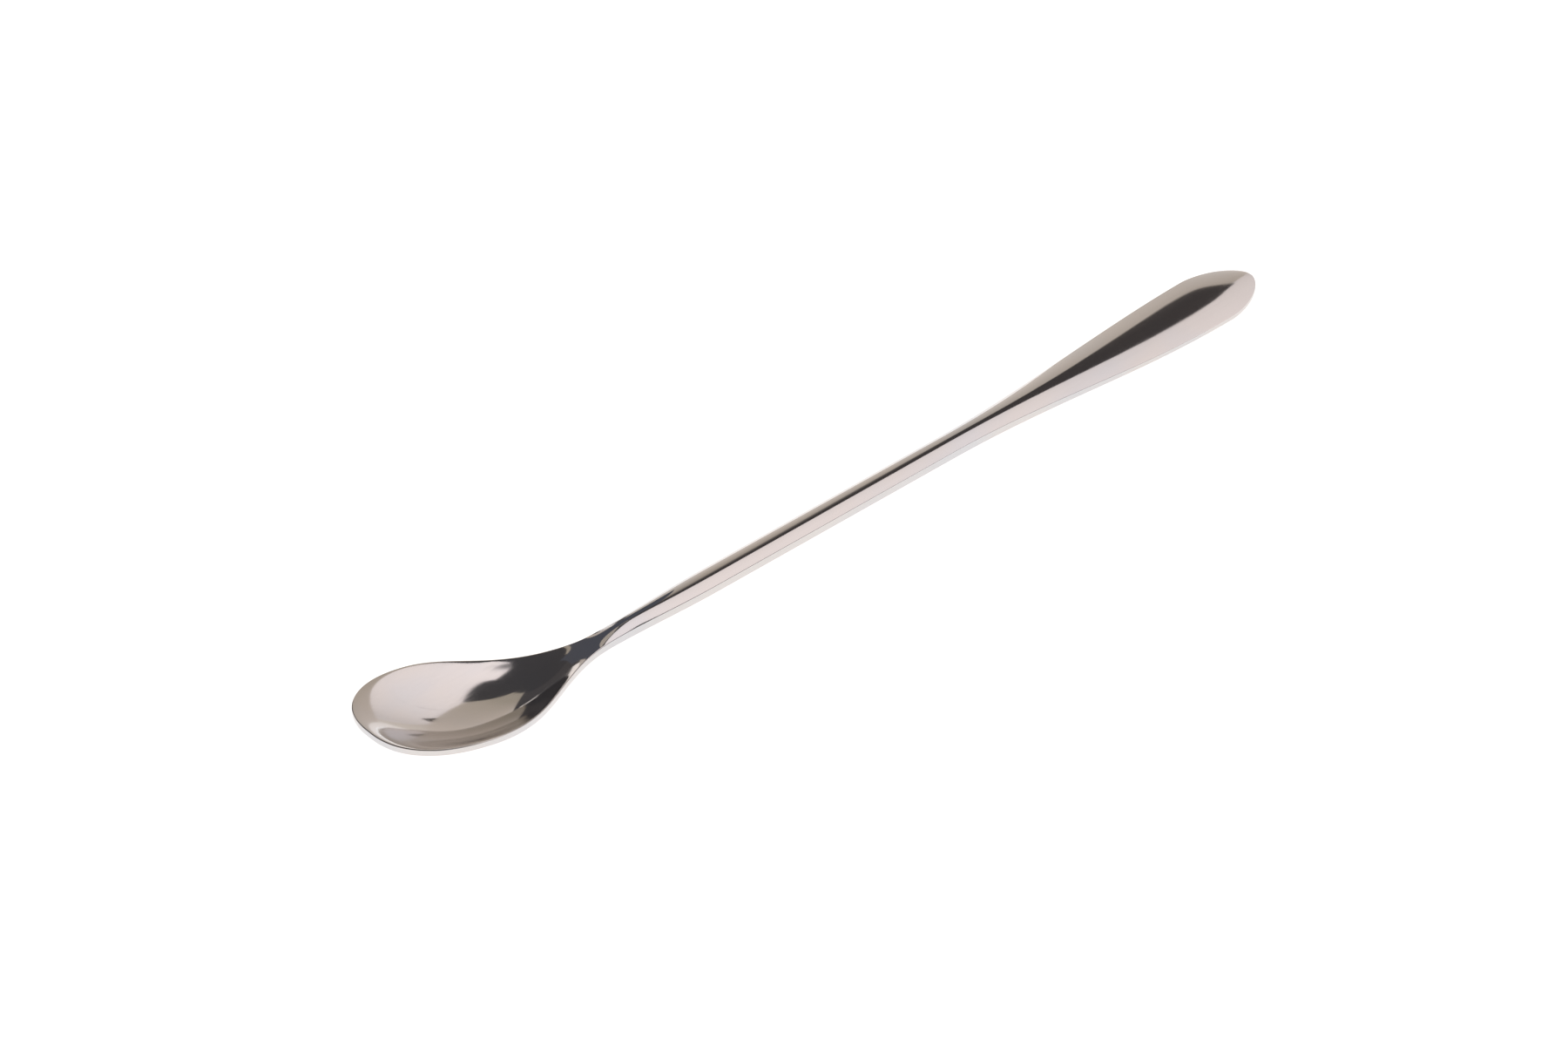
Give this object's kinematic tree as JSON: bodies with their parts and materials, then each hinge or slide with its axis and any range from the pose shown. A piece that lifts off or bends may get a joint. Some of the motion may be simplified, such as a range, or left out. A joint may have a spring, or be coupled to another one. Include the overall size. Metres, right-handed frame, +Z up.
{
  "type": "bar spoon",
  "caption": "Long-handled stirring spoon in polished steel with an egg-shaped bowl, a slim straight stem and a rounded pad at the handle end.",
  "frame": {"origin": "on the surface that the spoon lies on, under the middle of its overall length and of its width", "axes": "+X from the bowl to the handle end, +Y across the spoon, +Z up, out of the bowl's hollow"},
  "size_m": [0.2, 0.0232, 0.0132],
  "materials": {
    "polished_steel": "mirror-polished stainless steel"
  },
  "bodies": {
    "root": {"spoon": "polished_steel"}
  },
  "joints": []
}
